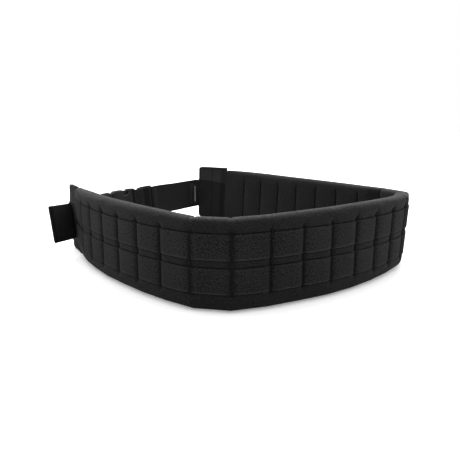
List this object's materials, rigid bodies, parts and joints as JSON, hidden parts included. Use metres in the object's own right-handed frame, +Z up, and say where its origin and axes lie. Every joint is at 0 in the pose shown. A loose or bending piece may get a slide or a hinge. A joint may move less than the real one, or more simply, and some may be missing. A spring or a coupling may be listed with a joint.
{
  "type": "tactical belt",
  "caption": "Padded waist belt with rows of tacked webbing outside, a flat strap through its sleeve, a side-release buckle, a slide and a folded free end.",
  "frame": {"origin": "middle of the footprint, on the surface that the belt stands on", "axes": "+Z up; seen along +Y, as in the picture, the sharp front bend is nearest and the buckle is at the back on the left; +X to the right"},
  "size_m": [0.4724, 0.496, 0.1005],
  "materials": {
    "padded_cloth": "matte black nylon, fine plain weave",
    "webbing": "matte black nylon webbing",
    "panel_cloth": "matte black nylon, fine plain weave",
    "strap": "matte black nylon strap",
    "moulding": "satin black moulded plastic",
    "label": "dark woven label, bare"
  },
  "bodies": {
    "root": {"pad_sleeve": "padded_cloth", "webbing_row_upper": "webbing", "webbing_row_lower": "webbing", "end_panel_left": "panel_cloth", "end_panel_right": "panel_cloth", "waist_strap": "strap", "buckle_male": "moulding", "buckle_female": "moulding", "tri_glide": "moulding", "strap_label": "label"}
  },
  "joints": []
}
